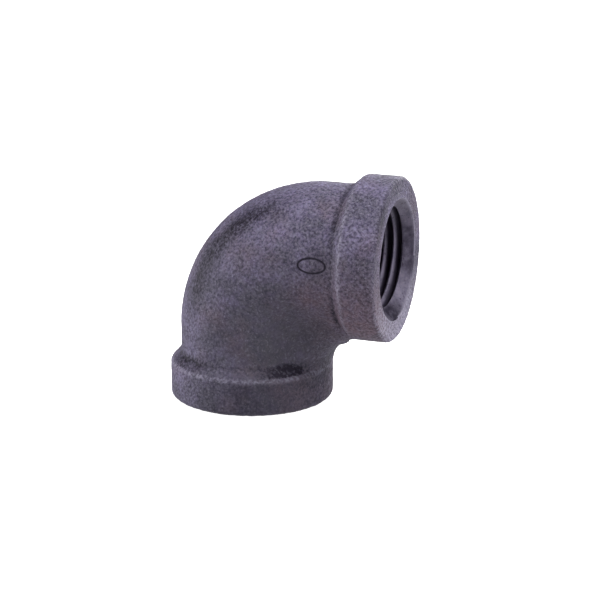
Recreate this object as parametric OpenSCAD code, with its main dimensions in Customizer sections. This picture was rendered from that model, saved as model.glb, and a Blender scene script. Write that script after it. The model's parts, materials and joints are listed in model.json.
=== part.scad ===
// Banded 90-degree pipe elbow, black malleable iron, 1/2-14 NPT female at both ends.
// Millimetres. The inlet's face is the plane z = 0 and its axis is +Z. The outlet's axis
// is +X at z = face_to_axis. The elbow is one casting: its nodes are its three regions,
// which meet face to face at the inner end of each thread.

/* [Casting] */
// Distance from each face to the other end's axis
face_to_axis = 28.5; // [27.5:0.1:32]
// Outside diameter of the reinforcing band round each mouth
band_d = 30.8; // [30:0.1:32.4]
// Width of the band, from the face to its back edge
band_w = 6.5; // [5:0.1:7.5]
// Outside diameter of the body behind the bands
body_d = 26.7; // [26:0.1:28]
// Radius of the outer edge of each face
rim_round = 0.8; // [0.3:0.1:1.5]
// Radius of the band's back edge
band_round = 1; // [1:0.1:1.4]
// Width of the steeper slope that eases the band's shoulder into the body
ease_w = 0.45; // [0.2:0.05:0.8]
// Height of that steeper slope
ease_h = 1.1; // [0.6:0.1:1.6]

/* [Bend] */
// Radius of the bend's centreline
bend_radius = 14.9; // [13.5:0.1:16]
// Diameter of the cored passage through the bend
passage_d = 21.3; // [20.6:0.1:22]
// Radius of the throat, where the two bands are filled in flush with each other
throat_radius = 7; // [6:0.1:7.5]
// Half-width of the flush strip along the throat, as an angle around the band
throat_half_angle = 20; // [10:1:23]

/* [Thread] */
// Axial distance between neighbouring thread roots
pitch = 1.814; // [1.4:0.001:1.9]
// Depth of the thread's inner end behind the face
thread_len = 10.9; // [10:0.1:11.5]
// Number of thread roots in that depth
root_count = 5; // [3:1:5]
// Depth of the first root behind the face
first_root = 2.6; // [2.4:0.1:2.8]
// Root diameter where the thread's cone meets the face
root_d_at_face = 21.2; // [20.6:0.1:21.4]
// Diameter of the straight hole that the thread is cut in
hole_d = 18.26; // [18:0.01:18.6]
// Diameter of the countersink at the face
countersink_d = 22.8; // [22:0.1:24]

/* [Hidden] */
$fn = 64;
IRON = [0.36, 0.34, 0.40];

band_r = band_d / 2;
body_r = body_d / 2;
passage_r = passage_d / 2;
hole_r = hole_d / 2;
countersink_r = countersink_d / 2;
throat_bend = band_r + throat_radius;      // centreline radius of the bend that carries the throat
countersink_depth = countersink_r - hole_r; // its wall stands at 45 degrees
NPT_SLOPE = 1 / 32;                         // how fast the root radius falls with depth
THREAD_HALF_ANGLE = 30;
ROOT_FLAT = 0.06;                           // width of the flat at the bottom of each root
BODY_SINK = 0.15;                           // depth to which the throat's flanks run into the body
PAST = 1;                                   // how far a cut runs past the face it opens
REACH = 2 * (face_to_axis + band_r);        // longer than the whole casting

// Radius of the thread's root at a depth behind the face
function root_r(depth) = root_d_at_face / 2 - NPT_SLOPE * depth;

// Half-width of a thread groove where it opens into the straight hole
function half_groove(depth) =
    ROOT_FLAT / 2 + (root_r(depth) - hole_r) * tan(THREAD_HALF_ANGLE);

// The four corners of the groove that is root number i
function groove(i) =
    let (depth = first_root + i * pitch, half = half_groove(depth), r = root_r(depth))
    [
        [hole_r, depth - half],
        [r, depth - ROOT_FLAT / 2],
        [r, depth + ROOT_FLAT / 2],
        [hole_r, depth + half]
    ];

// Carries a shape from the inlet to the matching place at the outlet
module at_outlet() {
    translate([face_to_axis, 0, face_to_axis])
        rotate(a = 180, v = [1, 0, -1])
            children();
}

// Turns a section through the quarter bend of the given centreline radius. The section's
// -x side faces the throat.
module along_bend(radius) {
    translate([radius, 0, face_to_axis - radius])
        rotate([90, 0, 180])
            rotate_extrude(angle = 90)
                translate([radius, 0])
                    children();
}

// Everything behind the inlet's thread, up to the plane where the outlet's thread begins
module bend_zone() {
    translate([face_to_axis - thread_len - REACH, -REACH / 2, thread_len])
        cube([REACH, REACH, REACH]);
}

module inlet_zone() {
    translate([-REACH / 2, -REACH / 2, thread_len - REACH])
        cube([REACH, REACH, REACH]);
}

// Half section of one end's outside: a rounded rim, the band, its 45-degree shoulder, a
// steeper slope, and the body
module socket_section() {
    edge_z = band_w - band_round * (sqrt(2) - 1);
    on_slope = band_round * sin(45);
    ease_z = band_w + band_r - body_r - ease_w;
    translate([band_r - rim_round, rim_round])
        circle(rim_round);
    translate([band_r - band_round, edge_z])
        circle(band_round);
    square([band_r - rim_round, rim_round]);
    translate([0, rim_round])
        square([band_r, edge_z - rim_round]);
    polygon([
        [0, edge_z],
        [band_r - band_round, edge_z],
        [band_r - band_round + on_slope, edge_z + on_slope],
        [body_r + ease_w, ease_z],
        [body_r, ease_z + ease_h],
        [body_r, thread_len],
        [0, thread_len]
    ]);
}

// Section of the throat: a strip flush with the bands, with flanks that run into the body
module throat_section() {
    mid_shift = (throat_bend - bend_radius) * (sqrt(2) - 1);
    strip = [band_r * cos(throat_half_angle), band_r * sin(throat_half_angle)];
    sunk_r = body_r - BODY_SINK;
    to_strip = [strip.x + mid_shift, strip.y];
    meet_angle = atan2(to_strip.y, to_strip.x) + acos(sunk_r / norm(to_strip));
    meet = [mid_shift - sunk_r * cos(meet_angle), sunk_r * sin(meet_angle)];
    intersection() {
        circle(band_r);
        polygon([
            [meet.x, meet.y],
            [-strip.x, strip.y],
            [-strip.x - band_r, strip.y],
            [-strip.x - band_r, -strip.y],
            [-strip.x, -strip.y],
            [meet.x, -meet.y]
        ]);
    }
}

module throat() {
    along_bend(throat_bend)
        throat_section();
}

// Countersink, straight hole and thread roots, opening downwards through the face
module threaded_bore() {
    rotate_extrude()
        polygon(concat(
            [[0, -PAST], [countersink_r, -PAST], [countersink_r, 0], [hole_r, countersink_depth]],
            [[hole_r, thread_len + PAST], [0, thread_len + PAST]]
        ));
    for (i = [0 : root_count - 1])
        rotate_extrude()
            polygon(concat([[hole_r - PAST, groove(i)[0].y]], groove(i),
                           [[hole_r - PAST, groove(i)[3].y]]));
}

// One end of the casting, standing on its face
module socket() {
    difference() {
        union() {
            rotate_extrude()
                socket_section();
            intersection() {
                throat();
                inlet_zone();
            }
        }
        threaded_bore();
    }
}

// The passage widens from the straight hole to its full bore between thread and bend
module passage_leg() {
    translate([0, 0, thread_len])
        cylinder(r1 = hole_r, r2 = passage_r, h = face_to_axis - bend_radius - thread_len);
}

module body_leg() {
    translate([0, 0, thread_len])
        cylinder(r = body_r, h = face_to_axis - bend_radius - thread_len);
}

module inlet_socket() {
    color(IRON)
        socket();
}

module outlet_socket() {
    color(IRON)
        at_outlet()
            socket();
}

module bend() {
    color(IRON)
        difference() {
            union() {
                along_bend(bend_radius)
                    circle(body_r);
                body_leg();
                at_outlet()
                    body_leg();
                intersection() {
                    throat();
                    bend_zone();
                }
            }
            along_bend(bend_radius)
                circle(passage_r);
            passage_leg();
            at_outlet()
                passage_leg();
        }
}

inlet_socket();
bend();
outlet_socket();
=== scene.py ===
"""Looks of the banded pipe elbow: one iron casting with two threaded mouths, on a pale floor.

Lengths are in millimetres until a mesh is made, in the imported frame: the inlet's axis is +Z
from its face at z = 0, and the outlet's axis is +X from the bend to its face.
"""

import json
import math

import bpy
import numpy as np
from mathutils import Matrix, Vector


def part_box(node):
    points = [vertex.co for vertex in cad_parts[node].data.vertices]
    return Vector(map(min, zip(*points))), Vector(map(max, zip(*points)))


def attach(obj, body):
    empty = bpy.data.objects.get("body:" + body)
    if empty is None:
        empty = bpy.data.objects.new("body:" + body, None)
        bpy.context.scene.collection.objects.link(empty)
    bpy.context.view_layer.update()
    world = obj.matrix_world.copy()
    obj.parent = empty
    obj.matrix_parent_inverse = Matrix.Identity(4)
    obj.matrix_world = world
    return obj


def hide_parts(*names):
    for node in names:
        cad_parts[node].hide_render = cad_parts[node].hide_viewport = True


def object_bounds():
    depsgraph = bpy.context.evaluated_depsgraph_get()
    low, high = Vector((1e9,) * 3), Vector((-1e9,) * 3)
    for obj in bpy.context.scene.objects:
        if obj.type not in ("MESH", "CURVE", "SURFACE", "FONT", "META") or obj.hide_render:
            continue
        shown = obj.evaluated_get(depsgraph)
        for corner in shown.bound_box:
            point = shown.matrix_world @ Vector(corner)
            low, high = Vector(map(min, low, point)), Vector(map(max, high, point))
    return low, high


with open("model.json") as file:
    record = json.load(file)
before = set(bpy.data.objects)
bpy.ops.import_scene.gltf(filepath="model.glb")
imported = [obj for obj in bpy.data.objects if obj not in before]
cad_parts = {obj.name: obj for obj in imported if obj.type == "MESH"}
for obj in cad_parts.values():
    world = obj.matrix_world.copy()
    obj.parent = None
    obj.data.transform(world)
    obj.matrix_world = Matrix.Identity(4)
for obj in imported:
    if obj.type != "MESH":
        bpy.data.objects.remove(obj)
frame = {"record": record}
cad_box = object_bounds()

MM = 0.001

# ---- sizes ----
# From the frame
inlet_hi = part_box("inlet_socket")[1] / MM
outlet_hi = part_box("outlet_socket")[1] / MM
bend_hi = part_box("bend")[1] / MM
mounts = {m["name"]: m for m in frame["record"]["mounts"]}
BAND_R = inlet_hi.y
BODY_R = bend_hi.y
THREAD_LEN = inlet_hi.z
FACE_TO_AXIS = outlet_hi.x
HOLE_R = mounts["inlet_thread"]["dims"]["r_mm"]

# The casting's outside
RIM_ROUND = 0.8
BAND_EDGE = 6.65  # where the band's shoulder starts
SHOULDER_FOOT = 8.5  # where the 45 degree shoulder meets the ease into the body
SHOULDER_FOOT_R = BODY_R + 0.22
SHOULDER_END = 9.6
SHOULDER_SOFT = 0.18
PLAIN_DEPTH = 4  # up to here the outside is the band alone
PROFILE_STEP = 0.02
BEND_R = 14.9
THROAT_R = 7.0
THROAT_BEND = BAND_R + THROAT_R
THROAT_HALF_ANGLE = math.radians(24)
FLANK_SUNK = 1.5  # how far under the body's surface the throat's flanks aim
FLANK_SOFT = 2.2
THROAT_BLEND = 1.6
BAND_DIP = 0.05  # how far the bands' skin lies under their full radius

# The bore
PASSAGE_R = 10.65
COUNTERSINK_R = 11.4
BORE_END = FACE_TO_AXIS - BEND_R  # depth at which the passage has its full bore
PITCH = 1.814
THREAD_HALF_ANGLE = math.radians(30)
FIRST_ROOT = 2.6  # depth of the first root, on the +Y side
ROOT_R_AT_FACE = 10.6
TAPER = 1 / 32
ROOT_FLAT = 0.03
BEHIND_THREAD = THREAD_LEN, BORE_END
CUT_IN = 1.5, 2.3  # the thread comes to its full depth between these depths
CUT_IN_RISE = 1.6  # how much shallower it starts
RUN_OUT = 9.5  # from here the thread grows shallower
RUN_OUT_SLOPE = 0.3

# The cast mark: a plain oval line on the side of the body
MARK_X, MARK_Z = 16.2, 29.7
MARK_HALF_W, MARK_HALF_H = 2.6, 1.35
MARK_LINE = 0.17
MARK_DEPTH = 0.14
MARK_MARGIN_W, MARK_MARGIN_H = 0.6, 0.5  # how far the fine mesh reaches past it

# Relief of the cast skin: height, wavelength and seed of each layer of noise
SWELL = ((0.05, 8.0, 1), (0.035, 3.1, 2))
SAND = ((0.03, 1.25, 3), (0.04, 0.75, 4), (0.024, 0.45, 5))
PIT_DEPTH, PIT_SIZE, PIT_SEED = 0.06, 1.7, 6
CORE_ROUGHER = 1.6  # how much higher the passage's relief is
CHIP_HEIGHT, CHIP_SIZE, CHIP_SEED = 0.022, 0.9, 21  # of the cut threads

# The parting line, and the stub of flash across the throat
SEAM_HALF_W, SEAM_HEIGHT = 0.5, 0.07
STUB_TURN = 58  # degrees from the inlet's side round the throat
STUB_Y = 2.0
STUB_HEIGHT = 0.5

# Mesh spacing
STEP = 0.19
DEPTH_STEP = 0.17
FINE = 0.09  # round the mark
MARK_REACH = 21  # about how far the mark is from the line that the bend's rows fan out from
SEARCH_REACH, HALVINGS = 24.0, 26  # how the distance out to the surface is found
RIM_ROWS = 9
PASSAGE_ROWS = 76
GROOVE_ROWS = -1, -0.97, -0.68, -0.36, -0.04, 0.04, 0.36, 0.68, 0.97, 1  # in half widths
CREST_ROWS = 0.3, 0.7  # in widths of the crest
SHARP_EDGE = math.radians(42)

# ---- colours ----
SKIN_DARK = (0.074, 0.065, 0.104, 1)
SKIN_LIGHT = (0.142, 0.121, 0.207, 1)
SKIN_GREY = (0.104, 0.101, 0.120, 1)
SKIN_BROWN = (0.160, 0.107, 0.136, 1)
# lighter tone: wear, light specks, and painted light from below on the outlet's face
SKIN_WORN_AND_LIT = (0.28, 0.26, 0.34, 1)
# near black: soot, dark flecks, and painted shade in hollows, recesses, the throat and along the
# bend
SOOT_AND_SHADE_BLACK = (0.0145, 0.0115, 0.021, 1)
CUT_DARK = (0.082, 0.071, 0.112, 1)
CUT_LIGHT = (0.155, 0.134, 0.193, 1)
CUT_BRIGHT = (0.17, 0.16, 0.195, 1)
SHEEN = (0.84, 0.78, 1.0, 1)
WHITE = (1, 1, 1, 1)

# Where the skin's tone changes round a point: the point, how far it reaches, how strong it is
BROWN_PLACES = (((24, -11, 20), 8.5, 1.0), ((16, -12.5, 23), 4, 0.8))
CALM_PLACE = ((10, -13, 12), 13, 1.0)  # greyer and more even
THROAT_SHADE = ((17, -8, 16), 3.5, 0.35)  # darker: painted shade in the inner corner of the bend

# Wear on the bands' edges: how far it reaches, and how far inside the square corner it lies
EDGE_WEAR, LIP_WEAR = 0.5, 0.22
RIM_WORN, BACK_WORN = 0.22, 0.2

# Soot and painted shade on the inlet's shoulder: strength, angle and its spread (degrees), depth
# and its spread
INLET_SOOT_AND_SHADE = (
    (1.5, 50, 17, SHOULDER_FOOT - 0.7, 1.35),  # the pocket beside the throat
    (1.1, -42, 20, SHOULDER_FOOT - 0.8, 1.1),  # the far end of the foot
    (0.7, 34, 12, SHOULDER_FOOT - 1.2, 0.8),  # where the pocket starts
)

# ---- floor, light and camera ----
FLOOR_R = 4  # metres
FLOOR_DROP = 0.05  # millimetres under the face
FLOOR_TONE, FLOOR_GLOW = 0.8, 1.0  # as the camera sees it
FLOOR_BOUNCE, FLOOR_LIGHT = 0.25, 0.4  # as it lights the object
SKY_SHOWN, SKY_LIGHT = 1.1, 0.0

# Name: azimuth and elevation it shines from, distance, width, height (metres), power (watts)
LIGHTS = {
    "left_low": (-80, 8, 0.5, 0.35, 0.2, 2.0),
    "front_high": (0, 60, 0.35, 0.16, 0.16, 0.5),
    "right_high": (85, 45, 0.28, 0.16, 0.16, 0.9),
    "low_right": (90, -13, 0.075, 0.08, 0.009, 0.005),
    "top_back": (190, 55, 0.4, 0.25, 0.25, 0.27),
    "back_fill": (175, 12, 0.5, 0.35, 0.25, 1.7),
}

VIEW_AZIMUTH, VIEW_ELEVATION = 19, 17.3
VIEW_DISTANCE = 0.43  # metres
VIEW_TARGET = 8, 0, 14  # the camera stands straight out from this point, at the view's angle
AIM_RIGHT, AIM_UP = 0.55, 5.54  # how far beside that point it aims
LENS, SENSOR = 139.6, 36


# ---- helpers ----
def smoothstep(lo, hi, x):
    t = np.clip((x - lo) / (hi - lo), 0, 1)
    return t * t * (3 - 2 * t)


def bell(x, centre, width):
    return np.exp(-(((x - centre) / width) ** 2))


def patch(p, centre, reach, strength):
    """The strength at a centre, fading to 0 over the reach around it."""
    return strength * bell(np.linalg.norm(p - np.array(centre), axis=-1), 0, reach)


def smooth_min(a, b, width):
    h = np.clip(0.5 + 0.5 * (b - a) / width, 0, 1)
    return b + (a - b) * h - width * h * (1 - h)


def paced(lo, hi, step, window=(0.0, 0.0), fine=1.0):
    """Positions from lo to hi about step apart, and about fine apart inside the window."""
    x = np.linspace(lo, hi, 6001)
    mid = (x[1:] + x[:-1]) / 2
    gap = np.where((mid > window[0]) & (mid < window[1]), fine, step)
    count = np.concatenate([[0], np.cumsum(np.diff(x) / gap)])
    return np.interp(np.linspace(0, count[-1], math.ceil(count[-1]) + 1), count, x)


def noise(points, wavelength, seed):
    """Smooth gradient noise from about -1 to 1, the same on every run."""
    q = points.reshape(-1, 3) / wavelength + seed * 17.31
    base = np.floor(q).astype(np.int64)
    f = q - base
    s = f * f * f * (f * (f * 6 - 15) + 10)
    total = np.zeros(len(q))
    for corner in range(8):
        o = np.array([corner & 1, corner >> 1 & 1, corner >> 2])
        k = (base + o) @ np.array([374761393, 668265263, 1442695041]) + seed * 1274126177
        k = ((k & 0xFFFFFFFF) ^ ((k & 0xFFFFFFFF) >> 13)) * 1103515245 & 0xFFFFFFFF
        k = (k ^ (k >> 16)) * 668265263 & 0xFFFFFFFF
        gradient = np.stack([(k >> n & 1023) / 511.5 - 1 for n in (2, 12, 22)], 1)
        weight = np.prod(np.where(o, s, 1 - s), axis=1)
        total += weight * ((f - o) * gradient).sum(1)
    return (total * 1.5).reshape(points.shape[:-1])


def to_outlet(p):
    """Mirrors points at the inlet to the matching points at the outlet."""
    return np.stack([FACE_TO_AXIS - p[..., 2], p[..., 1], FACE_TO_AXIS - p[..., 0]], -1)


def socket_angle(p):
    """Angle of points round the nearer end's axis: 0 at the front, 90 at the throat."""
    toward = np.where(p[..., 2] < FACE_TO_AXIS - p[..., 0], p[..., 0], FACE_TO_AXIS - p[..., 2])
    return np.degrees(np.arctan2(toward, -p[..., 1]))


# ---- the casting's outside ----
def band_profile(depth):
    """Outside radius of a socket at a depth behind its face: rim, band, shoulder, body."""
    z = np.arange(-3, 16, PROFILE_STEP)
    r = np.interp(
        z,
        [BAND_EDGE, SHOULDER_FOOT, SHOULDER_END],
        [BAND_R, SHOULDER_FOOT_R, BODY_R],
    )
    x = np.arange(-1.5, 1.5 + PROFILE_STEP / 2, PROFILE_STEP)
    kernel = np.exp(-((x / SHOULDER_SOFT) ** 2) / 2)
    soft = np.convolve(np.pad(r, len(x) // 2, mode="edge"), kernel / kernel.sum(), "valid")
    out = np.interp(depth, z, soft)
    rim = RIM_ROUND - np.clip(depth, 0, RIM_ROUND)
    return out - RIM_ROUND + np.sqrt(RIM_ROUND**2 - rim**2)


def centre_reach(fan, theta):
    """How far the passage's centreline is from a fan point that is fan behind both faces,
    in the direction theta, which turns from the inlet's side (0) to the outlet's (pi / 2)."""
    start = np.array([FACE_TO_AXIS - fan - BEND_R, fan - (FACE_TO_AXIS - BEND_R)])
    along = start[0] * -np.cos(theta) + start[1] * np.sin(theta)
    arc = -along + np.sqrt(np.maximum(along**2 - (start**2).sum() + BEND_R**2, 0))
    leg = (FACE_TO_AXIS - fan) / np.maximum(np.maximum(np.cos(theta), np.sin(theta)), 0.1)
    side = np.minimum(np.tan(np.minimum(theta, np.pi / 2 - theta)), 1)
    on_leg = side * (FACE_TO_AXIS - fan) + fan <= FACE_TO_AXIS - BEND_R
    return np.where(on_leg, leg, arc)


def outside(x, y, z):
    """Below 0 inside the body and the throat that fills the inner corner."""
    turn = FACE_TO_AXIS - BEND_R
    inlet_leg = np.hypot(x, np.maximum(z - turn, 0))
    outlet_leg = np.hypot(z - FACE_TO_AXIS, np.maximum(BEND_R - x, 0))
    arc = np.abs(np.hypot(x - BEND_R, z - turn) - BEND_R)
    arc = np.where((x < BEND_R) & (z > turn), arc, np.inf)
    body = np.hypot(np.minimum(np.minimum(inlet_leg, outlet_leg), arc), y) - BODY_R

    fan = FACE_TO_AXIS - THROAT_BEND
    dx, dz = THROAT_BEND - x, z - fan
    theta = np.clip(np.arctan2(dz, dx), 0, np.pi / 2)
    toward = THROAT_BEND - np.where(dz < 0, dx, np.where(dx < 0, dz, np.hypot(dx, dz)))
    shift = centre_reach(fan, theta) - THROAT_BEND
    corner = BAND_R * np.cos(THROAT_HALF_ANGLE), BAND_R * np.sin(THROAT_HALF_ANGLE)
    reach = np.hypot(corner[0] + shift, corner[1])
    slope = np.arctan2(corner[1], corner[0] + shift) + np.arccos((BODY_R - FLANK_SUNK) / reach)
    flank = (toward - corner[0]) * np.cos(slope) + (np.abs(y) - corner[1]) * np.sin(slope)
    behind = (BODY_R - FLANK_SUNK) * np.cos(slope) - shift - toward
    tube = np.hypot(toward, y) - BAND_R
    throat = np.maximum(-smooth_min(-tube, -flank, FLANK_SOFT), behind)
    return smooth_min(body, throat, THROAT_BLEND)


def spokes(centre, way, radius, phi):
    """The x, y and z of points at a radius round each row's centre. Angle 0 points along the
    row's way."""
    c, s = np.cos(phi)[None, :], np.sin(phi)[None, :]
    x = centre[:, :1] + radius * c * way[:, :1]
    z = centre[:, 1:] + radius * c * way[:, 1:]
    return x, radius * s, z


def surface_radius(centre, way, phi):
    """Radius at which each spoke leaves the body, found by halving."""
    near = np.zeros((len(centre), len(phi)))
    far = np.full_like(near, SEARCH_REACH)
    for _ in range(HALVINGS):
        mid = (near + far) / 2
        hit = outside(*spokes(centre, way, mid, phi)) > 0
        near, far = np.where(hit, near, mid), np.where(hit, mid, far)
    return near


def outside_grid(phi):
    """Points of the casting's outside from the inlet's countersink edge over the bend to the
    outlet's, as rows of points round the passage."""
    face = paced(COUNTERSINK_R, BAND_R - RIM_ROUND, STEP)[:-1]
    bow = RIM_ROUND * (1 - np.cos(np.linspace(0, np.pi / 2, RIM_ROWS)))
    depth = np.concatenate([bow[:-1], paced(RIM_ROUND, SHOULDER_END, DEPTH_STEP)])
    fan_step = STEP / (FACE_TO_AXIS - SHOULDER_END + BODY_R)
    half_w = MARK_HALF_W + MARK_MARGIN_W
    mark = [
        math.atan2(MARK_Z - SHOULDER_END, FACE_TO_AXIS - SHOULDER_END - MARK_X - s)
        for s in (-half_w, half_w)
    ]
    theta = paced(0, np.pi / 2, fan_step, mark, FINE / MARK_REACH)[1:-1]

    hub = np.stack(
        [FACE_TO_AXIS - SHOULDER_END - centre_reach(SHOULDER_END, theta) * np.cos(theta),
         SHOULDER_END + centre_reach(SHOULDER_END, theta) * np.sin(theta)], 1)
    fan_way = np.stack([-np.cos(theta), np.sin(theta)], 1)
    lower = np.stack([0 * depth, depth], 1)
    upper = np.stack([FACE_TO_AXIS - depth, 0 * depth + FACE_TO_AXIS], 1)[::-1]
    centre = np.concatenate([lower, hub, upper])
    way = np.concatenate([np.tile([-1.0, 0.0], (len(depth), 1)), fan_way,
                          np.tile([0.0, 1.0], (len(depth), 1))])

    body = surface_radius(centre, way, phi)
    past_shoulder = np.full(len(theta), 2 * SHOULDER_END)
    row_depth = np.concatenate([depth, past_shoulder, depth[::-1]])[:, None]
    band = band_profile(row_depth)
    plain = row_depth < PLAIN_DEPTH
    radius = np.where(plain, band, np.maximum(body, band * (band > BODY_R + 1e-3)))

    rows = np.stack(spokes(centre, way, radius, phi), -1)
    c, s = np.cos(phi)[None, :], np.sin(phi)[None, :]
    ring = np.stack([-face[:, None] * c, face[:, None] * s, 0 * face[:, None] * c], -1)
    return np.concatenate([ring, rows, to_outlet(ring)[::-1]])


# ---- the bore ----
def bore_radius(depth, off_root):
    """Radius of the machined bore, off_root along the axis from the nearest thread root."""
    root = ROOT_R_AT_FACE - TAPER * depth - RUN_OUT_SLOPE * np.maximum(depth - RUN_OUT, 0)
    root = root - CUT_IN_RISE * (1 - smoothstep(*CUT_IN, depth - off_root))
    thread = root - (np.abs(off_root) - ROOT_FLAT).clip(0) / math.tan(THREAD_HALF_ANGLE)
    cone = COUNTERSINK_R - depth
    opening = HOLE_R + (depth - THREAD_LEN) * (PASSAGE_R - HOLE_R) / (BORE_END - THREAD_LEN)
    return np.maximum.reduce([thread, cone, opening, np.full_like(depth, HOLE_R)])


def thread_grid(phi, hand):
    """Points of the bore as rows that follow the thread's helix, which grows deeper with phi
    where hand is 1. Rows past either end lie on that end's ring."""
    turns = np.arange(-4, 9)
    swept = hand * (phi[None, :] - np.pi / 2) / (2 * np.pi)
    root = FIRST_ROOT + (turns[:, None] + swept) * PITCH
    groove_r = ROOT_R_AT_FACE - TAPER * root - HOLE_R
    half = np.clip(ROOT_FLAT + groove_r * math.tan(THREAD_HALF_ANGLE), 0.3, 0.88)
    offs = [share * half for share in GROOVE_ROWS]
    offs += [half + (PITCH - 2 * half) * share for share in CREST_ROWS]
    off = np.stack(offs, 1)
    depth = np.clip(root[:, None, :] + off, 0, BORE_END)
    radius = bore_radius(depth, np.where(off > PITCH / 2, off - PITCH, off))
    in_thread = radius > COUNTERSINK_R - depth + 0.02
    # painted shade, darkest in the thread roots
    groove = smoothstep(HOLE_R + 0.1, HOLE_R + 1.1, radius) * in_thread
    shape = (-1, len(phi))
    depth, radius, groove = depth.reshape(shape), radius.reshape(shape), groove.reshape(shape)
    c, s = np.cos(phi)[None, :], np.sin(phi)[None, :]
    points = np.stack([-radius * c, radius * s, depth], -1)
    return points, depth, groove, len(offs)


def passage_grid(phi):
    """Points of the cored passage from the inlet's bore round the bend to the outlet's."""
    turn = np.linspace(0, np.pi / 2, PASSAGE_ROWS)
    c, s = np.cos(phi)[None, :], np.sin(phi)[None, :]
    reach = BEND_R + PASSAGE_R * c
    return np.stack([BEND_R - reach * np.cos(turn)[:, None],
                     np.broadcast_to(PASSAGE_R * s, (len(turn), len(phi))),
                     FACE_TO_AXIS - BEND_R + reach * np.sin(turn)[:, None]], -1)


# ---- surface relief and tone ----
def grid_normals(p):
    along = np.gradient(p, axis=0)
    around = np.roll(p, -1, 1) - np.roll(p, 1, 1)
    n = np.cross(along, around)
    return n / np.maximum(np.linalg.norm(n, axis=-1, keepdims=True), 1e-12)


def layered(p, layers):
    """The sum of layers of noise, each given by its height, wavelength and seed."""
    return sum(height * noise(p, size, seed) for height, size, seed in layers)


def cast_relief(p, swelling=1.0):
    """Height of the sand-cast skin over the smooth shape."""
    pits = PIT_DEPTH * smoothstep(0.42, 0.75, noise(p, PIT_SIZE, PIT_SEED))
    return layered(p, SWELL) * swelling + (layered(p, SAND) - pits)


def mark_line(p):
    """1 on the mark's oval line, fading to 0 beside it."""
    u, w = (p[..., 0] - MARK_X) / MARK_HALF_W, (p[..., 2] - MARK_Z) / MARK_HALF_H
    e = np.maximum(np.hypot(u, w), 1e-3)
    steep = np.hypot(u / MARK_HALF_W, w / MARK_HALF_H) / e
    gap = np.abs(e - 1) / np.maximum(steep, 1e-3)
    return bell(gap, 0, MARK_LINE) * (p[..., 1] < 0)


def flash_stub(p, ragged):
    """1 on the stub of flash across the throat, nearer to the outlet."""
    tx, tz = THROAT_BEND - p[..., 0], p[..., 2] - (FACE_TO_AXIS - THROAT_BEND)
    turn = np.degrees(np.arctan2(tz, tx))
    hollow = bell(np.hypot(tx, tz), THROAT_R, 1.5)
    stub = bell(turn - 5 * noise(p, 3.0, 12), STUB_TURN, 4.5)
    return stub * hollow * bell(p[..., 1], STUB_Y, 5.5) * (0.75 + 0.5 * ragged)


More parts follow.
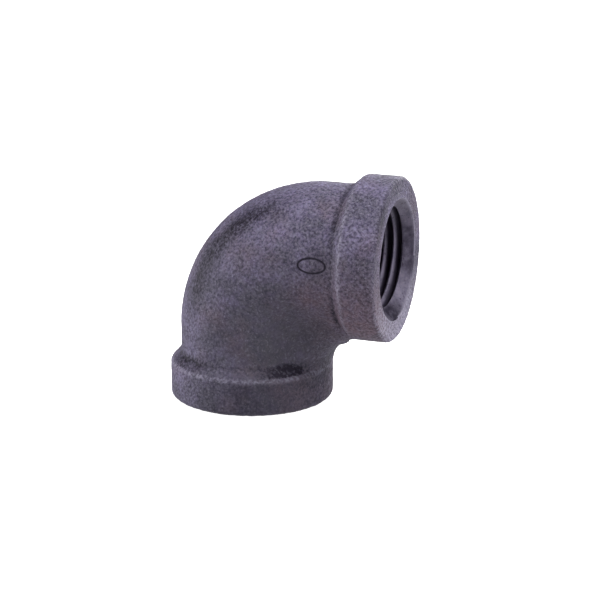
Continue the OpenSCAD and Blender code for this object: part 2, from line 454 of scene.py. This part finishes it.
class Skin:
    """The casting's rough outside: where its points lie, their relief and their tones."""

    def __init__(self, p):
        self.p = p
        self.at_inlet = p[..., 2] < FACE_TO_AXIS - p[..., 0]
        self.depth = np.where(self.at_inlet, p[..., 2], FACE_TO_AXIS - p[..., 0])
        across = np.where(self.at_inlet, p[..., 0], p[..., 2] - FACE_TO_AXIS)
        self.r = np.hypot(across, p[..., 1])
        self.around = socket_angle(p)
        self.on_band = smoothstep(BODY_R + 0.3, BAND_R - 0.4, self.r)
        self.on_band = self.on_band * (self.depth < SHOULDER_END)
        self.face = 1 - smoothstep(0.2, 0.8, self.depth)
        self.ragged = 0.6 + 0.6 * noise(p, 1.6, 11)
        self.seam = bell(p[..., 1], 0, SEAM_HALF_W) * self.ragged * (1 - self.on_band)
        self.mark = mark_line(p)
        self.calm = patch(p, *CALM_PLACE)

    def moved(self):
        """The points, moved out or in by the relief, which never leaves the bands' full size."""
        height = cast_relief(self.p, 1 - 0.6 * self.on_band)
        height = height + SEAM_HEIGHT * self.seam
        height = height + STUB_HEIGHT * flash_stub(self.p, self.ragged)
        height = height - MARK_DEPTH * self.mark
        outermost = (self.depth < SHOULDER_END) & (self.r > BAND_R - 1.2)
        edge = (self.depth < 0.4) | outermost
        height = np.where(edge, np.minimum(height - BAND_DIP, 0), height)
        return self.p + grid_normals(self.p) * height[..., None]

    def wear(self):
        """Rubbed rims, band edges, lips and seam, and painted light from below on the low half of
        the outlet's face, whose rim is also lighter there.
        """
        rim = np.hypot(self.depth - RIM_WORN, self.r - BAND_R + RIM_WORN)
        back = np.hypot(self.depth - BAND_EDGE - BACK_WORN, self.r - BAND_R + BACK_WORN)
        lip = np.hypot(self.depth, self.r - COUNTERSINK_R)
        # painted light from below on the low half of the outlet's face, towards the throat
        low = smoothstep(0.1, 1.0, np.sin(np.radians(self.around))) * ~self.at_inlet
        low = self.face * low
        return np.maximum.reduce([
            (0.2 + 0.5 * low) * bell(rim, 0, EDGE_WEAR),
            bell(back, 0, EDGE_WEAR),
            0.8 * bell(lip, 0, LIP_WEAR),
            0.5 * np.clip(self.seam, 0, 1),
            1.3 * low,
        ])

    def soot(self):
        """Soot and painted shade at the bands' feet, most of all in the inlet's pocket beside the
        throat, and on the front of the outlet's face."""
        depth, around, at_inlet = self.depth, self.around, self.at_inlet
        at_foot = np.where(
            at_inlet,
            0.5 + 0.5 * bell(around, -40, 22),
            0.5 + 0.5 * bell(around, -45, 40) + 0.9 * bell(around, 55, 30),
        )
        foot = np.hypot(depth - SHOULDER_FOOT - 0.1, (self.r - BODY_R - 0.1) * 1.2)
        soot = at_foot * bell(foot, 0, 0.75)
        for strength, angle, spread, at_depth, reach in INLET_SOOT_AND_SHADE:
            soot += strength * bell(around, angle, spread) * bell(depth, at_depth, reach) * at_inlet
        soot *= smoothstep(BAND_R - 0.25, BAND_R - 0.6, self.r)

        # along the inlet band's back edge, and on the outlet's face
        soot += 0.6 * bell(depth, BAND_EDGE - 0.4, 0.25) * bell(around, 5, 30) * at_inlet
        inside_rim = smoothstep(COUNTERSINK_R + 0.5, BAND_R - 1.5, self.r)
        soot += 0.9 * self.face * bell(around, -45, 34) * inside_rim * ~at_inlet
        return soot

    def stain(self):
        """Painted shade: a dark streak along the outer side of the bend, a darker front of the
        inlet's
            band near the floor, painted shade in the throat, and a duller, darker middle."""
        dx, dz = self.p[..., 0] - BEND_R, self.p[..., 2] - FACE_TO_AXIS + BEND_R
        turned = np.degrees(np.arctan2(dz, -dx))
        side = np.degrees(np.arctan2(-self.p[..., 1], np.hypot(dx, dz) - BEND_R))
        # painted shade: a dark band along the bend's outer side, inside its outline
        streak = 1.15 * bell(side, 52 - 0.27 * turned, 12) * smoothstep(-5, 28, turned)
        streak = streak * (1 - smoothstep(62, 88, turned))
        # painted shade on the front of the inlet's band, near the floor
        band = np.minimum(0.78, 1.6 * bell(self.around, 45, 42)) * self.at_inlet * (1 - self.face)
        band = band * (1 - 0.5 * smoothstep(BAND_EDGE - 0.8, BAND_EDGE - 0.2, self.depth))
        streak = np.where(self.on_band > 0.1, band, streak)
        return np.maximum.reduce([streak, 0.37 * self.calm, patch(self.p, *THROAT_SHADE)])

    def weights(self):
        """The tones by name, for the material."""
        front = bell(self.around, 35, 48) * (self.depth < BAND_EDGE - 0.4) * self.at_inlet
        return {
            "wear": self.wear(),
            "soot": self.soot(),
            "mark": self.mark,
            "stain": self.stain(),
            "warm": np.maximum.reduce([patch(self.p, *place) for place in BROWN_PLACES]),
            "calm": np.maximum(self.calm, 0.8 * front),
            "face": self.face,
        }


# ---- the mesh ----
def grid_faces(rows, cols, first, wrap=0):
    """Quads between neighbouring rows. The last column joins the first, wrap rows further on."""
    i = np.arange(rows - 1)[:, None]
    j = np.arange(cols)[None, :]
    after = (j + 1) % cols
    jump = np.where(j == cols - 1, wrap, 0)

    def at(row, col):
        return first + np.clip(row, 0, rows - 1) * cols + col

    quads = [at(i, j + 0 * i), at(i + jump, after + 0 * i)]
    quads += [at(i + 1 + jump, after + 0 * i), at(i + 1, j + 0 * i)]
    return np.stack(quads, -1).reshape(-1, 4)


def quad_mesh(name, points, quads, cut):
    """A mesh of quads. One with two joined corners is a triangle, and one with more is
    dropped."""
    twin = quads == np.roll(quads, -1, 1)
    cross = (quads[:, 0] == quads[:, 2]) | (quads[:, 1] == quads[:, 3])
    whole = ~twin.any(1) & ~cross
    three = (twin.sum(1) == 1) & ~cross
    tris = quads[three][~twin[three]].reshape(-1, 3)
    corners = np.concatenate([quads[whole].ravel(), tris.ravel()]).astype(np.int32)
    sizes = np.concatenate([np.full(whole.sum(), 4), np.full(len(tris), 3)])
    starts = np.concatenate([[0], np.cumsum(sizes)[:-1]]).astype(np.int32)
    kinds = np.concatenate([cut[whole], cut[three]]).astype(np.int32)

    made = bpy.data.meshes.new(name)
    made.vertices.add(len(points))
    made.vertices.foreach_set("co", (points * MM).astype(np.float32).ravel())
    made.loops.add(len(corners))
    made.loops.foreach_set("vertex_index", corners)
    made.polygons.add(len(sizes))
    made.polygons.foreach_set("loop_start", starts)
    made.polygons.foreach_set("material_index", kinds)
    made.update(calc_edges=True)
    made.validate()
    return made


class Grids:
    """Grids of points that share their columns, gathered into one mesh."""

    NAMES = ("wear", "soot", "mark", "stain", "warm", "calm", "face", "groove", "lathe")

    def __init__(self, cols):
        self.cols = cols
        self.points, self.faces, self.cut = [], [], []
        self.weights = {name: [] for name in self.NAMES}

    def add(self, points, wrap=0, machined=None, **given):
        """Adds one grid with the weights given by name. Where machined is 1, faces are cut."""
        first = sum(len(q) for q in self.points)
        flat = points.reshape(-1, 3)
        self.points.append(flat)
        quads = grid_faces(len(points), self.cols, first, wrap)
        self.faces.append(quads)
        share = np.zeros(len(flat)) if machined is None else machined.ravel()
        self.cut.append(share[quads - first].mean(1) > 0.5)
        for name, store in self.weights.items():
            store.append(np.ravel(given.get(name, np.zeros(len(flat)))))

    def mesh(self, name):
        """The grids as one mesh, joined where their points meet. Cut faces have material 1."""
        points = np.concatenate(self.points)
        keys = np.round(points * 1e4).astype(np.int64)
        _, first, same = np.unique(keys, axis=0, return_index=True, return_inverse=True)
        quads = same.ravel()[np.concatenate(self.faces)]
        made = quad_mesh(name, points[first], quads, np.concatenate(self.cut))
        for weight, store in self.weights.items():
            layer = made.attributes.new(weight, "FLOAT", "POINT")
            layer.data.foreach_set("value", np.concatenate(store)[first].astype(np.float32))
        return made


def countersink_shade(points, depth):
    """Painted shade in a countersink: thin all round, thicker at the back, and thickest towards the
    throat.
    """
    angle = socket_angle(points)
    bore_shade = 0.1 + 0.75 * bell(np.abs(angle), 168, 26) + 1.18 * bell(angle, 84, 26)
    return bore_shade * (1 - smoothstep(1.8, 2.8, depth))


def add_bore(grids, phi, hand, ring):
    """Adds one end's countersink and thread, at the outlet where hand is 1. They start on the
    ring, the outside's edge."""
    points, depth, groove, per_turn = thread_grid(phi, hand)
    chips = noise(points + (40 if hand > 0 else 0), CHIP_SIZE, CHIP_SEED)
    chips *= CHIP_HEIGHT * smoothstep(0.3, 1.5, depth) * (1 - smoothstep(*BEHIND_THREAD, depth))
    away = np.stack([np.cos(phi), -np.sin(phi), 0 * phi], -1)
    points = points + (chips[..., None] * away)
    if hand > 0:
        points = to_outlet(points)
    points = np.where((depth <= 0)[..., None], ring, points)
    machined = (depth < THREAD_LEN + 0.4).astype(float)
    bore_shade = countersink_shade(points, depth)
    grids.add(points, hand * per_turn, machined, groove=groove, lathe=depth, soot=bore_shade)


def add_passage(grids, phi):
    """Adds the passage, rougher than the outside except where it meets the bores."""
    core = passage_grid(phi)
    along = np.linspace(0, 1, len(core))
    ends = smoothstep(0, 0.12, along) * smoothstep(0, 0.12, along[::-1])
    height = CORE_ROUGHER * cast_relief(core) * ends[:, None]
    core = core - grid_normals(core) * height[..., None]
    # painted shade all through the passage
    grids.add(core, groove=np.full(core.shape[:2], 0.6))


def casting():
    """The elbow as one closed mesh: rough cast outside, cut countersinks and threads, and
    cored passage."""
    half_h = MARK_HALF_H + MARK_MARGIN_H
    mark_angles = [math.atan2(-BODY_R, MARK_Z + s - FACE_TO_AXIS) + 2 * math.pi
                   for s in (-half_h, half_h)]
    phi = paced(0, 2 * math.pi, STEP / BODY_R, sorted(mark_angles), FINE / BODY_R)[:-1]
    grids = Grids(len(phi))
    skin = Skin(outside_grid(phi))
    shell = skin.moved()
    grids.add(shell, **skin.weights())
    add_bore(grids, phi, -1, shell[0])
    add_bore(grids, phi, 1, shell[-1])
    add_passage(grids, phi)
    return grids.mesh("elbow_casting")


# ---- materials ----
class Shader:
    """Short calls for one material's nodes. Lengths are in millimetres."""

    def __init__(self, name):
        self.material = bpy.data.materials.new(name)
        self.material.use_nodes = True
        self.tree = self.material.node_tree
        self.surface = self.tree.nodes["Principled BSDF"]
        self.surface.inputs["Metallic"].default_value = 0.0
        self.surface.inputs["Specular Tint"].default_value = SHEEN
        self.place = self.add("TexCoord").outputs["Object"]

    def add(self, kind, inputs=(), **settings):
        made = self.tree.nodes.new("ShaderNode" + kind)
        for name, value in settings.items():
            setattr(made, name, value)
        for key, value in dict(inputs).items():
            self.feed(value, made.inputs[key])
        return made

    def feed(self, value, socket):
        if isinstance(value, bpy.types.NodeSocket):
            self.tree.links.new(value, socket)
        else:
            socket.default_value = value

    def noise(self, size, detail=3.0, rough=0.55, place=None):
        inputs = {"Vector": place or self.place, "Scale": 1 / (size * MM), "Detail": detail,
                  "Roughness": rough}
        return self.add("TexNoise", inputs).outputs["Fac"]

    def weight(self, name):
        return self.add("Attribute", attribute_name=name).outputs["Fac"]

    def remap(self, value, lo, hi, low=0.0, high=1.0):
        inputs = {"Value": value, "From Min": lo, "From Max": hi, "To Min": low, "To Max": high}
        return self.add("MapRange", inputs).outputs["Result"]

    def calc(self, operation, a, b):
        return self.add("Math", {0: a, 1: b}, operation=operation).outputs["Value"]

    def plus(self, a, b):
        return self.calc("ADD", a, b)

    def times(self, a, b):
        return self.calc("MULTIPLY", a, b)

    def most(self, a, b):
        return self.calc("MAXIMUM", a, b)

    def mix(self, share, a, b, blend="MIX"):
        inputs = {"Factor": share, "A": a, "B": b}
        made = self.add("Mix", data_type="RGBA", blend_type=blend)
        for socket in made.inputs:
            if socket.enabled and socket.name in inputs:
                self.feed(inputs[socket.name], socket)
        return next(s for s in made.outputs if s.enabled)

    def shaded(self, colour, level):
        """The colour times a level."""
        grey = self.add("CombineColor", {n: level for n in ("Red", "Green", "Blue")})
        return self.mix(1.0, colour, grey.outputs["Color"], "MULTIPLY")

    def finish(self, colour, roughness, shine, height, reach):
        bump = self.add("Bump", {"Strength": 1.0, "Distance": reach * MM, "Height": height})
        self.feed(colour, self.surface.inputs["Base Color"])
        self.feed(roughness, self.surface.inputs["Roughness"])
        self.feed(shine, self.surface.inputs["Specular IOR Level"])
        self.feed(bump.outputs["Normal"], self.surface.inputs["Normal"])
        return self.material


def cast_skin():
    """Black mill finish on sand-cast iron: blue-violet grey, mottled, with light grains, rubbed
    edges, soot and painted shade in the hollows, painted shade along the bend and in the throat,
    painted light from below on the outlet face's low half, browner towards the throat."""
    m = Shader("cast_black_iron")
    mottle = m.noise(6.5, 4.0, 0.6)
    blotch = m.noise(1.7, 5.0, 0.65)
    grain = m.noise(0.5, 2.5, 0.6)
    speck = m.noise(0.36, 2.0, 0.5)
    face = m.weight("face")
    calm = m.weight("calm")

    # mottled violet, grey and brown
    colour = m.mix(m.remap(mottle, 0.38, 0.62), SKIN_DARK, SKIN_LIGHT)
    grey = m.plus(m.remap(blotch, 0.38, 0.66, 0.0, 0.4), m.times(calm, 0.6))
    colour = m.mix(grey, colour, SKIN_GREY)
    warm = m.most(m.weight("warm"), m.remap(m.noise(9.0, 3.0), 0.5, 0.68, 0.0, 0.4))
    brown = m.times(warm, m.remap(blotch, 0.36, 0.6, 0.6, 1.0))
    colour = m.mix(brown, colour, SKIN_BROWN)

    # grain on the outside, and finer pits on the faces
    swing = m.times(m.remap(grain, 0.36, 0.64, -0.44, 0.44), m.remap(calm, 0.0, 1.0, 1.0, 0.1))
    grained = m.times(m.plus(swing, 1.0), m.calc("SUBTRACT", 1.0, face))
    pitted = m.times(m.remap(m.noise(0.3, 3.0, 0.6), 0.38, 0.62, 0.35, 1.3), face)
    colour = m.shaded(colour, m.plus(grained, pitted))

    # light specks, rubbed edges, and painted light from below on the outlet's face
    rubbed = m.times(m.weight("wear"), m.remap(grain, 0.42, 0.6, 0.15, 0.85))
    light = m.most(m.remap(speck, 0.57, 0.68, 0.0, 0.4), rubbed)
    colour = m.mix(light, colour, SKIN_WORN_AND_LIT)

    # soot and painted shade with ragged edges, the mark's line, and painted shade in the passage
    ragged = m.plus(m.times(grain, 0.5), m.times(blotch, 0.5))
    ragged = m.remap(ragged, 0.42, 0.6, 1.0, 0.35)
    evened = m.plus(ragged, m.times(calm, m.calc("SUBTRACT", 0.68, ragged)))
    dark = m.most(m.times(m.weight("soot"), ragged), m.times(m.weight("stain"), evened))
    # the mark's line painted dark: painted shade in its shallow groove
    dark = m.most(dark, m.times(m.weight("mark"), 1.6))
    colour = m.mix(dark, colour, SOOT_AND_SHADE_BLACK)
    # painted shade in the passage
    colour = m.mix(m.weight("groove"), colour, SOOT_AND_SHADE_BLACK)

    rough = m.remap(m.plus(blotch, m.times(grain, 0.5)), 0.55, 1.0, 0.5, 0.72)
    shine = m.plus(m.times(swing, 0.35), 0.28)
    height = m.plus(grain, m.times(m.noise(1.1, 3.0), 0.8))
    height = m.plus(height, m.times(speck, m.times(face, 0.8)))
    return m.finish(colour, rough, shine, height, 0.25)


def cut_iron():
    """Countersinks and threads: smoother, with fine tool rings, nicks, a worn lip, painted shade in
    the countersinks, strongest towards the throat, and painted shade in the thread roots."""
    m = Shader("cut_iron")
    blotch = m.noise(2.4, 4.0, 0.6)
    grain = m.noise(0.45, 3.0, 0.6)
    depth = m.weight("lathe")
    along = m.add("CombineXYZ", {"X": m.times(depth, MM)}).outputs["Vector"]
    rings = m.noise(0.16, 2.0, 0.5, along)
    bore_shade = m.weight("soot")
    colour = m.mix(m.remap(blotch, 0.36, 0.64), CUT_DARK, CUT_LIGHT)
    colour = m.mix(m.remap(rings, 0.35, 0.75, 0.0, 0.3), colour, CUT_BRIGHT)
    colour = m.mix(m.remap(grain, 0.6, 0.7, 0.0, 0.6), colour, SOOT_AND_SHADE_BLACK)
    colour = m.mix(m.remap(grain, 0.44, 0.34, 0.0, 0.7), colour, CUT_BRIGHT)
    colour = m.mix(m.remap(m.noise(1.1, 2.0), 0.64, 0.7, 0.0, 0.7), colour, SOOT_AND_SHADE_BLACK)
    colour = m.mix(m.remap(depth, 0.45, 0.1, 0.0, 0.55), colour, SKIN_WORN_AND_LIT)
    # painted shade in the countersink, rougher and less shiny where it is strongest
    colour = m.mix(m.times(bore_shade, m.remap(blotch, 0.38, 0.62, 1.0, 0.6)), colour, SOOT_AND_SHADE_BLACK)
    # painted shade in the thread roots
    colour = m.mix(m.remap(m.weight("groove"), 0.0, 0.75), colour, SOOT_AND_SHADE_BLACK)
    rough = m.plus(m.remap(blotch, 0.3, 0.7, 0.45, 0.6), m.times(bore_shade, 0.3))
    shine = m.remap(bore_shade, 0.2, 1.0, 0.4, 0.1)
    height = m.plus(m.times(rings, 0.5), m.times(grain, 0.6))
    return m.finish(colour, rough, shine, height, 0.04)


elbow_mesh = casting()
elbow_mesh.materials.append(cast_skin())
elbow_mesh.materials.append(cut_iron())
elbow_mesh.shade_smooth()
elbow_mesh.set_sharp_from_angle(angle=SHARP_EDGE)
elbow = bpy.data.objects.new("elbow_casting", elbow_mesh)
bpy.context.scene.collection.objects.link(elbow)
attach(elbow, "root")
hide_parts("inlet_socket", "bend", "outlet_socket")


# ---- floor, light and camera ----
def seen_level(tree, unseen, shown, socket):
    """Feeds a socket one value where the camera looks, and another for all other light."""
    seen = tree.nodes.new("ShaderNodeLightPath").outputs["Is Camera Ray"]
    level = tree.nodes.new("ShaderNodeMapRange")
    level.inputs["To Min"].default_value = unseen
    level.inputs["To Max"].default_value = shown
    tree.links.new(seen, level.inputs["Value"])
    tree.links.new(level.outputs["Result"], socket)


def pale_floor():
    """A wide pale disc just under the inlet's face."""
    mesh = bpy.data.meshes.new("floor")
    turn = np.linspace(0, 2 * np.pi, 96, endpoint=False)
    ring = [(FLOOR_R * math.cos(t), FLOOR_R * math.sin(t), -FLOOR_DROP * MM) for t in turn]
    mesh.from_pydata(ring, [], [list(range(len(ring)))])
    material = bpy.data.materials.new("pale_floor")
    material.use_nodes = True
    surface = material.node_tree.nodes["Principled BSDF"]
    surface.inputs["Roughness"].default_value = 0.9
    surface.inputs["Specular IOR Level"].default_value = 0.0
    surface.inputs["Emission Color"].default_value = WHITE
    tree = material.node_tree
    seen_level(tree, FLOOR_BOUNCE, FLOOR_TONE, surface.inputs["Base Color"])
    seen_level(tree, FLOOR_LIGHT, FLOOR_GLOW, surface.inputs["Emission Strength"])
    mesh.materials.append(material)
    floor = bpy.data.objects.new("floor", mesh)
    bpy.context.scene.collection.objects.link(floor)
    return floor


def direction(azimuth, elevation):
    """Direction of an azimuth, 0 at the front and 90 at the outlet's side, and an elevation."""
    a, e = math.radians(azimuth), math.radians(elevation)
    return Vector((math.sin(a) * math.cos(e), -math.cos(a) * math.cos(e), math.sin(e)))


def softboxes():
    """Soft lamps from LIGHTS, all aimed at the object's middle."""
    centre = (cad_box[0] + cad_box[1]) / 2
    for name, (azimuth, elevation, distance, width, height, power) in LIGHTS.items():
        data = bpy.data.lights.new(name, "AREA")
        data.shape = "RECTANGLE"
        data.size, data.size_y, data.energy = width, height, power
        light = bpy.data.objects.new(name, data)
        away = direction(azimuth, elevation)
        light.location = centre + away * distance
        light.rotation_euler = away.to_track_quat("Z", "Y").to_euler()
        light.visible_camera = False
        bpy.context.scene.collection.objects.link(light)


def studio():
    """White where the camera looks past the object. It lights nothing, as SKY_LIGHT is 0."""
    world = bpy.data.worlds.new("studio")
    world.use_nodes = True
    back = world.node_tree.nodes["Background"]
    back.inputs["Color"].default_value = WHITE
    seen_level(world.node_tree, SKY_LIGHT, SKY_SHOWN, back.inputs["Strength"])
    bpy.context.scene.world = world


def camera():
    """Looks down at the front and at the outlet's mouth."""
    away = direction(VIEW_AZIMUTH, VIEW_ELEVATION)
    right = direction(VIEW_AZIMUTH + 90, 0)
    target = Vector(VIEW_TARGET) * MM
    data = bpy.data.cameras.new("camera")
    data.sensor_width, data.lens = SENSOR, LENS
    made = bpy.data.objects.new("camera", data)
    made.location = target + away * VIEW_DISTANCE
    aim = target + (right * AIM_RIGHT + away.cross(right) * AIM_UP) * MM
    made.rotation_euler = (aim - made.location).to_track_quat("-Z", "Y").to_euler()
    bpy.context.scene.collection.objects.link(made)
    bpy.context.scene.camera = made


pale_floor()
softboxes()
studio()
bpy.context.scene.view_settings.view_transform = "Standard"
camera()
